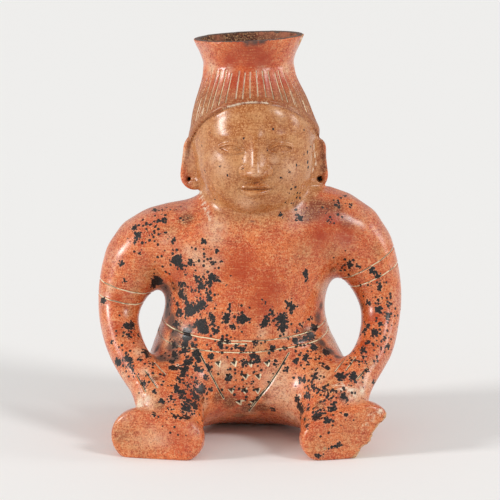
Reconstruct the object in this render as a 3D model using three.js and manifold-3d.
// Seated figure vessel in burnished red earthenware, one hollow piece of fired clay.
// A stocky figure sits with its legs out in front, feet turned outwards and hands on its knees.
// A fitted cap covers the head and rises into a short flared spout, the mouth of the vessel.
// Millimetres, +Z up. The figure faces -Y, and X runs from its right hand to its left hand.
import * as THREE from "three";
import { mergeVertices } from "three/addons/utils/BufferGeometryUtils.js";
import Module from "manifold-3d";

const wasm = await Module();
wasm.setup();

// Driving dimensions
const wall = 6.5; // clay thickness of the body and head
const lipWall = 5; // clay thickness at the mouth of the spout
const floorThickness = 9;
const capThickness = 2.6; // how far the cap stands proud of the head
const capLip = 0.9; // and how far its top edge does, round the foot of the spout
const capHem = 198; // height of the cap's lower edge, behind the ears
const capTop = 300; // height where the cap runs out into the spout
const rimHeight = 322.6; // middle of the mouth
const rimRise = Math.tan(THREE.MathUtils.degToRad(2.6)); // the mouth climbs towards +X
const rimFall = Math.tan(THREE.MathUtils.degToRad(0.5)); // and falls a little towards the front
const bodyRing = 10.5; // spacing of the rings of the vessel wall, below the neck
const headRing = 7.5; // and above it
const neckHeight = 196;
const around = 36; // facets round the vessel wall
const hipFillet = 22; // how broadly the clay is worked into the joints of the legs
const shoulderFillet = 20; // of the shoulders
const handFillet = 7; // and of the hands on the knees
const roundEnd = 0.6; // how far a limb's rounded end reaches, as a share of its thickness

// The vessel wall from the base to the mouth: height, centre x and y, half width, half depth
const wallStations = [
  [-10, -4, 44, 34, 10],
  [0, -4, 36, 48, 20],
  [6, -4, 29, 60, 32],
  [12, -4, 22, 69, 43],
  [18, -4, 14, 75, 53],
  [28, -5, 8, 79, 60],
  [48, -6, 4, 80, 61],
  [72, -7, 1, 74, 58],
  [100, -6, 1, 66, 55],
  [122, -4, 3, 68, 54],
  [146, -1, 6, 74, 51],
  [164, 1, 7, 70, 47],
  [180, 2, 6, 55, 41],
  [neckHeight, 2, 4, 42, 37],
  [206, 2, 3, 43, 40],
  [220, 2, 2, 47.5, 44],
  [236, 2, 2, 50.3, 47],
  [250, 1.8, 3, 49.4, 47.5],
  [263, 0.3, 4, 45.8, 46],
  [275, -0.3, 6, 42, 43.5],
  [288, -1.8, 8, 37.6, 39.5],
  [299, -2.8, 10, 36, 37],
  [307, -2.8, 11, 38.6, 39],
  [rimHeight, -2.6, 12, 45.3, 45.5],
];

// Arms and legs at the +X side: centre of each ring, half width across the limb, half thickness
const armStations = [
  { at: [24, 6, 147], wide: 33, thick: 42 },
  { at: [58, 6, 155], wide: 33, thick: 38 },
  { at: [87, 3, 148], wide: 29, thick: 31 },
  { at: [102.5, -3, 122], wide: 22.5, thick: 23 },
  { at: [108, -12, 98], wide: 16.8, thick: 18 },
  { at: [102.5, -29, 76], wide: 15.4, thick: 17 },
  { at: [91.5, -50, 61], wide: 15.2, thick: 14.5 },
  { at: [81, -68, 50], wide: 15.8, thick: 12 },
  { at: [76, -80, 39], wide: 14.5, thick: 10 },
];
const legStations = [
  { at: [26, 14, 38], wide: 40, thick: 37 },
  { at: [48, -18, 40], wide: 35.5, thick: 36 },
  { at: [62, -46, 37], wide: 32, thick: 33 },
  { at: [65, -71, 29], wide: 27, thick: 27 },
  { at: [61, -89, 21], wide: 24, thick: 20 },
];
const forward = new THREE.Vector3(0, 1, 0);
const upward = new THREE.Vector3(0, 0, 1);
const shoulders = { right: [3, -1], left: [-7.5, 17.5] }; // how far each is moved outwards and raised
const hips = { right: [-5, 0], left: [-12, -1] };
const wrists = { right: 1.5, left: -2.5 }; // how far each is moved outwards

const foot = {
  heel: [55, 16], // x and z of the circle that rounds the heel
  heelRadius: 18,
  toe: { right: [89.8, 16.8], left: [89, 21.8] },
  toeRadius: { right: 21.5, left: 22 },
  thickness: 17,
  breakFrom: [82, 3], // x and z of the ends of the broken edge of the left foot
  breakTo: [108, 38],
  sole: -104, // y of the sole at its middle
  turn: THREE.MathUtils.degToRad(12), // the toes swing back
  edge: 4,
};

const ear = {
  middle: 1.8, // x halfway between the ears
  x: 47, // where the flap grows from the head, from there
  y: 0,
  bottom: [2, 210], // x and z of the circles of its outline
  bottomRadius: 12,
  top: [1, 232],
  topRadius: 10,
  thickness: 9,
  rim: 4, // width of the edge round the hollow
  hollow: 1.6, // depth of the hollow
  turn: 0.4,
  hole: [6, 207], // x and z of the deep hole in its lobe
  holeRadius: { right: 2, left: 2.8 },
  holeEnd: 1.5, // clay left behind the hole
};

// The opening of the cap over the face: an arch cut straight back
const faceArch = { x: 3, z: 226, halfWidth: 55, halfHeight: 48, back: 8 };

// The face is an oval mask set out in thirds, from the cap's edge to the chin
const face = { x: faceArch.x, top: faceArch.z + faceArch.halfHeight, chin: 186, halfWidth: 49, front: -48 };
const third = (face.top - face.chin) / 3;
const browHeight = face.top - third;
const noseBase = browHeight - third;
const eyeHeight = browHeight - third / 4;
const mouthHeight = noseBase - third / 3;
const eyeWidth = (2 * face.halfWidth) / 5;

// Mounds and hollows of the face: across from its middle, height, half sizes, and how far it stands out
const faceRelief = [
  [0.9 * eyeWidth, browHeight + 1, 12, 4.5, 2.5],
  [eyeWidth, eyeHeight, 11, 6.5, -4],
  [eyeWidth, eyeHeight, 8, 4.5, 4],
  [8, noseBase + 5, 4.5, 4.5, 5],
  [26, noseBase + 7, 14, 13, 2.5],
  [0, mouthHeight + 2.6, 12, 2.4, 3.2],
  [0, mouthHeight - 3, 10, 3, 3.6],
  [0, face.chin + 9, 11, 7, 4],
];
const nose = { rise: 12, rootRise: 3, halfWidth: 6.5, rootHalfWidth: 4 };

// A solid from a closed three.js geometry
function solid(geometry) {
  let joined = geometry;
  if (geometry.attributes.uv) {
    joined = geometry.index ? geometry.toNonIndexed() : geometry.clone();
    joined.deleteAttribute("normal");
    joined.deleteAttribute("uv");
    joined = mergeVertices(joined, 1e-4);
  }
  return new wasm.Manifold(
    new wasm.Mesh({
      numProp: 3,
      vertProperties: joined.attributes.position.array,
      triVerts: new Uint32Array(joined.index.array),
    }),
  );
}

// A three.js geometry from a solid
function geometryOf(made) {
  const mesh = made.getMesh();
  const geometry = new THREE.BufferGeometry();
  geometry.setAttribute("position", new THREE.BufferAttribute(mesh.vertProperties, 3));
  geometry.setIndex(new THREE.BufferAttribute(mesh.triVerts, 1));
  return geometry;
}

// Moves every vertex of a geometry to where place() says
function reshaped(geometry, place) {
  const points = geometry.attributes.position;
  const point = new THREE.Vector3();
  for (let i = 0; i < points.count; i++) {
    point.fromBufferAttribute(points, i);
    const { x, y, z } = place(point);
    points.setXYZ(i, x, y, z);
  }
  return geometry;
}

// Smooth values between stations that start with their own place on the line
function between(stations) {
  const places = stations.map((station) => station[0]);
  const values = stations.flatMap((station) => station.slice(1));
  const curve = new THREE.CubicInterpolant(places, values, stations[0].length - 1);
  return (place) => curve.evaluate(place);
}

const wallAt = between(wallStations);

// The vessel wall between two heights, grown outwards by grow(height)
function column(from, to, grow, facets = around) {
  const split = THREE.MathUtils.clamp(neckHeight, from, to);
  const coarse = around / facets;
  const low = Math.round((split - from) / bodyRing / coarse);
  const rings = low + Math.round((to - split) / headRing / coarse);
  const heightAt = (ring) =>
    ring < low
      ? from + ((split - from) * ring) / low
      : split + ((to - split) * (ring - low)) / (rings - low);
  const tube = new THREE.CylinderGeometry(1, 1, rings, facets, rings);
  return solid(
    reshaped(tube, ({ x, y, z }) => {
      const height = heightAt(Math.round(y + rings / 2));
      const [centreX, centreY, halfWidth, halfDepth] = wallAt(Math.min(height, rimHeight));
      const extra = grow(height);
      const across = z * (halfWidth + extra);
      const deep = x * (halfDepth + extra);
      const tilt = THREE.MathUtils.smoothstep(height, capTop - 15, rimHeight);
      return {
        x: centreX + across,
        y: centreY + deep,
        z: height + tilt * (across * rimRise + deep * rimFall),
      };
    }),
  );
}

// The run of a limb: where its centre, its directions and its half sizes are, from 0 to 1
function runOf(stations, reference) {
  const path = new THREE.CatmullRomCurve3(stations.map(({ at }) => new THREE.Vector3(...at)));
  const last = stations.length - 1;
  const sizeAt = between(stations.map(({ wide, thick }, i) => [i / last, wide, thick]));
  return (t) => {
    const [wide, thick] = sizeAt(t);
    const tangent = path.getTangent(t);
    const side = new THREE.Vector3().crossVectors(tangent, reference).normalize();
    const out = new THREE.Vector3().crossVectors(side, tangent);
    return { centre: path.getPoint(t), tangent, side, out, wide, thick };
  };
}

// A limb strung along its run, with rounded ends
function limb(run, facets, rings, shrink = 0) {
  const length = 2;
  const capsule = new THREE.CapsuleGeometry(1, length, 3, facets, rings);
  return solid(
    reshaped(capsule, ({ x, y, z }) => {
      const along = THREE.MathUtils.clamp(y, -length / 2, length / 2);
      const { centre, tangent, side, out, wide, thick } = run(along / length + 0.5);
      return centre
        .addScaledVector(side, -x * (wide - shrink))
        .addScaledVector(out, -z * (thick - shrink))
        .addScaledVector(tangent, roundEnd * (y - along) * (Math.min(wide, thick) - shrink));
    }),
  );
}

// Stations of a limb on one side, with its upper end moved outwards and raised, and its wrist outwards
function onSide(stations, side, [outwards, rise], wrist = 0) {
  const last = stations.length - 1;
  return stations.map(({ at: [x, y, z], wide, thick }, i) => {
    const upper = Math.max(0, 1 - (1.6 * i) / last);
    const lower = Math.max(0, 1 - Math.abs(i / last - 0.7) / 0.3);
    return { at: [side * (x + outwards * upper + wrist * lower), y, z + rise * upper], wide, thick };
  });
}

function armOn(side) {
  return side > 0
    ? onSide(armStations, side, shoulders.left, wrists.left)
    : onSide(armStations, side, shoulders.right, wrists.right);
}

function legOn(side) {
  return onSide(legStations, side, side > 0 ? hips.left : hips.right);
}

// A flat plate with softened edges: an outline in X and Z, centred on y = 0
function plate(outline, thickness, edge) {
  const geometry = new THREE.ExtrudeGeometry(outline, {
    depth: thickness - 2 * edge,
    bevelThickness: edge,
    bevelSize: edge,
    bevelOffset: -edge,
    bevelSegments: 2,
    curveSegments: 7,
    steps: 1,
  });
  return geometry.translate(0, 0, -thickness / 2 + edge).rotateX(Math.PI / 2);
}

// The outline round two circles and the tangents between them
function hullOfCircles([ax, az], ra, [bx, bz], rb) {
  const angle = Math.atan2(bz - az, bx - ax);
  const lean = Math.acos((ra - rb) / Math.hypot(bx - ax, bz - az));
  const outline = new THREE.Shape();
  outline.absarc(ax, az, ra, angle + lean, angle - lean + 2 * Math.PI, false);
  outline.absarc(bx, bz, rb, angle - lean, angle + lean, false);
  return outline;
}

function footPlate(side) {
  const toe = side > 0 ? foot.toe.left : foot.toe.right;
  const toeRadius = side > 0 ? foot.toeRadius.left : foot.toeRadius.right;
  const outline = hullOfCircles(foot.heel, foot.heelRadius, toe, toeRadius);
  const middle = (foot.heel[0] + toe[0]) / 2;
  const made = plate(outline, foot.thickness, foot.edge).translate(-middle, 0, 0);
  const placed = solid(made.rotateZ(foot.turn).translate(middle, foot.sole + foot.thickness / 2, 0));
  return side > 0 ? placed : placed.mirror([1, 0, 0]);
}

// What has broken off the left foot: everything outside an uneven edge across its toes
function footBreak() {
  const [fromX, fromZ] = foot.breakFrom;
  const [toX, toZ] = foot.breakTo;
  const angle = Math.atan2(toZ - fromZ, toX - fromX);
  const block = new THREE.BoxGeometry(90, 80, 40, 12, 7, 1);
  const uneven = (x, y) =>
    1.6 * Math.sin(0.31 * x + 0.5) + 1.1 * Math.sin(0.9 * x + 0.24 * y) + 0.8 * Math.sin(0.37 * y);
  reshaped(block, ({ x, y, z }) => ({ x, y, z: z > 0 ? uneven(x, y) : z }));
  return solid(block.rotateY(-angle).translate((fromX + toX) / 2, foot.sole + 10, (fromZ + toZ) / 2));
}

// An ear flap with a shallow hollow and a deep hole, turned so that its outer edge swings back
function earFlap(side) {
  const { bottom, bottomRadius, top, topRadius, thickness, hole, holeRadius, holeEnd, rim, hollow } = ear;
  const flap = solid(plate(hullOfCircles(bottom, bottomRadius, top, topRadius), thickness, 3));
  const bowl = plate(hullOfCircles(bottom, bottomRadius - rim, top, topRadius - rim), 2 * hollow, 0.5);
  const radius = side > 0 ? holeRadius.left : holeRadius.right;
  const drill = new THREE.CylinderGeometry(radius, radius, thickness, 10);
  drill.translate(hole[0], -holeEnd, hole[1]);
  const carved = flap.subtract(solid(bowl.translate(0, -thickness / 2, 4))).subtract(solid(drill));
  const turned = carved.rotate([0, 0, THREE.MathUtils.radToDeg(ear.turn)]).translate([ear.x, ear.y, 0]);
  return (side > 0 ? turned : turned.mirror([1, 0, 0])).translate([ear.middle, 0, 0]);
}

// How far the face stands out at a place, from its mounds, its hollows and the nose
function reliefAt(across, height) {
  const bell = (distance, size) => Math.exp(-((distance / size) ** 2));
  const mounds = faceRelief.reduce((sum, [x, z, halfX, halfZ, rise]) => {
    const sides = x > 0 ? bell(across - x, halfX) + bell(across + x, halfX) : bell(across, halfX);
    return sum + rise * sides * bell(height - z, halfZ);
  }, 0);
  const down = THREE.MathUtils.clamp((browHeight - height) / (browHeight - noseBase - 4), 0, 1);
  const rise = THREE.MathUtils.lerp(nose.rootRise, nose.rise, down);
  const halfWidth = THREE.MathUtils.lerp(nose.rootHalfWidth, nose.halfWidth, down);
  const beyond = Math.max(height - browHeight, noseBase + 3 - height, 0);
  return mounds + rise * bell(across, halfWidth) * bell(beyond, 4);
}

// The face: a block whose front is drawn out to an oval mask, with its back inside the head
function faceMask() {
  const columns = 24;
  const rows = 24;
  const block = new THREE.BoxGeometry(2, 2, 2, columns, 1, rows);
  const middle = (face.top + face.chin) / 2;
  const halfHeight = (face.top - face.chin) / 2 + 3;
  return solid(
    reshaped(block, ({ x, y, z }) => {
      const across = x * Math.sqrt(1 - (z * z) / 2);
      const up = z * Math.sqrt(1 - (x * x) / 2);
      const height = middle + up * halfHeight;
      const edge = Math.sqrt(Math.max(0, 1 - across * across - up * up));
      const round = (1 - Math.min(1, Math.abs(across)) ** 2.5) ** 0.4 * (0.62 + 0.38 * edge ** 0.7);
      const front = face.front * round - reliefAt(across * face.halfWidth, height);
      return { x: face.x + across * face.halfWidth, y: y < 0 ? front : 6, z: height };
    }),
  );
}

// The cap: a thicker skin over the head, open over the face
function cap() {
  const rise = (height) =>
    THREE.MathUtils.lerp(capLip, capThickness, THREE.MathUtils.smoothstep(capTop - height, 0, 30));
  const skin = column(capHem, capTop, rise);
  const { x, z, halfWidth, halfHeight, back } = faceArch;
  const arch = new THREE.CylinderGeometry(1, 1, 200, 40);
  arch.scale(halfWidth, 1, halfHeight).translate(x, back - 100, z);
  const below = new THREE.BoxGeometry(2 * halfWidth, 200, 100).translate(x, back - 100, z - 50);
  return skin.subtract(solid(arch)).subtract(solid(below));
}

function cavity() {
  const inner = (height) =>
    THREE.MathUtils.mapLinear(Math.min(height, rimHeight), 0, rimHeight, -wall, -lipWall);
  const body = column(floorThickness, rimHeight + 14, inner, 18);
  const thighs = [-1, 1].map((side) => legOn(side).slice(0, 3));
  const hollowLegs = thighs.map((stations) => limb(runOf(stations, upward), 10, 4, wall));
  return [body, ...hollowLegs].reduce((whole, piece) => whole.add(piece));
}

// How far a place lies outside the vessel wall, less than nothing inside it
function outsideWall(point) {
  const [centreX, centreY, halfWidth, halfDepth] = wallAt(point.z);
  const across = point.x - centreX;
  const deep = point.y - centreY;
  const share = Math.hypot(across / halfWidth, deep / halfDepth);
  return Math.hypot(across, deep) * (1 - 1 / Math.max(share, 1e-6));
}

// The same for a limb
function outsideLimb(run) {
  const steps = 60;
  const slices = Array.from({ length: steps + 1 }, (_, i) => run(i / steps));
  const from = new THREE.Vector3();
  return (point) => {
    let nearest = 0;
    slices.forEach(({ centre }, i) => {
      if (centre.distanceToSquared(point) < slices[nearest].centre.distanceToSquared(point)) nearest = i;
    });
    const { centre, tangent, side, out, wide, thick } = slices[nearest];
    from.subVectors(point, centre);
    const beyond = nearest === 0 || nearest === steps ? from.dot(tangent) : 0;
    const across = from.dot(side);
    const deep = from.dot(out);
    const share = Math.hypot(across / wide, deep / thick, beyond / (roundEnd * Math.min(wide, thick)));
    return Math.hypot(across, deep, beyond) * (1 - 1 / Math.max(share, 1e-6));
  };
}

// Clay worked into the joints of the body: vertices buried under the fillets move out onto them
function filleted(geometry, runs) {
  const distances = runs.map(outsideLimb);
  const soft = (a, b, size) => Math.min(a, b) - Math.max(size - Math.abs(a - b), 0) ** 2 / (4 * size);
  const outside = (point) => {
    const [rightArm, leftArm, rightLeg, leftLeg] = distances.map((distance) => distance(point));
    const seat = soft(soft(outsideWall(point), rightLeg, hipFillet), leftLeg, hipFillet);
    const shoulder = THREE.MathUtils.smoothstep(point.z, 70, 120);
    const size = THREE.MathUtils.lerp(handFillet, shoulderFillet, shoulder);
    return soft(soft(seat, rightArm, size), leftArm, size);
  };
  const probe = new THREE.Vector3();
  const slope = (point, axis) => {
    const ahead = outside(probe.copy(point).addScaledVector(axis, 0.5));
    return ahead - outside(probe.copy(point).addScaledVector(axis, -0.5));
  };
  const axes = [new THREE.Vector3(1, 0, 0), forward, upward];
  const settle = (point) => {
    for (let pass = 0; pass < 4; pass++) {
      const gradient = new THREE.Vector3(...axes.map((axis) => slope(point, axis)));
      const steepness = Math.max(gradient.lengthSq(), 0.2);
      point.addScaledVector(gradient, -outside(point) / steepness);
    }
  };
  const index = geometry.index.array;
  const position = geometry.attributes.position;
  const pointAt = (i) => new THREE.Vector3().fromBufferAttribute(position, i);
  const points = Array.from({ length: position.count }, (_, i) => pointAt(i));
  const near = points.map(() => new Set());
  for (let i = 0; i < index.length; i += 3) {
    for (let k = 0; k < 3; k++) {
      near[index[i + k]].add(index[i + ((k + 1) % 3)]);
      near[index[i + ((k + 1) % 3)]].add(index[i + k]);
    }
  }
  const inBody = (point) => point.z > -8 && point.z < neckHeight + 4;
  const buried = points.map((point, i) => i).filter((i) => inBody(points[i]) && outside(points[i]) < -0.4);
  for (let pass = 0; pass < 5; pass++) {
    for (const i of buried) {
      if (pass) {
        const mean = new THREE.Vector3();
        near[i].forEach((j) => mean.add(points[j]));
        points[i].lerp(mean.divideScalar(near[i].size), 0.5);
      }
      settle(points[i]);
    }
  }
  points.forEach(({ x, y, z }, i) => position.setXYZ(i, x, y, z));
  return geometry;
}

function figure() {
  const sides = [-1, 1];
  const arms = sides.map((side) => runOf(armOn(side), forward));
  const legs = sides.map((side) => runOf(legOn(side), upward));
  const join = (pieces) => pieces.reduce((whole, piece) => whole.add(piece));
  const parts = [
    column(-10, rimHeight, () => 0),
    ...arms.map((run) => limb(run, 14, 20)),
    ...legs.map((run) => limb(run, 16, 8)),
  ];
  const clay = solid(filleted(geometryOf(join(parts)), [...arms, ...legs]));
  const dressed = join([clay, faceMask(), cap(), ...sides.map(footPlate), ...sides.map(earFlap)]);
  const ground = solid(new THREE.BoxGeometry(600, 600, 100).translate(0, 0, -50));
  return dressed.subtract(ground).subtract(footBreak()).subtract(cavity());
}

// The part's own frame: the middle of the box round it, at the bottom
function centred(geometry) {
  geometry.computeBoundingBox();
  const { min, max } = geometry.boundingBox;
  return geometry.translate(-(min.x + max.x) / 2, -(min.y + max.y) / 2, -min.z);
}

const redSlip = new THREE.MeshStandardMaterial({ color: 0xc4694a, roughness: 0.45, metalness: 0 });

const group = new THREE.Group();
const body = new THREE.Mesh(centred(geometryOf(figure())), redSlip);
body.name = "seated_figure";
group.add(body);

export default group;
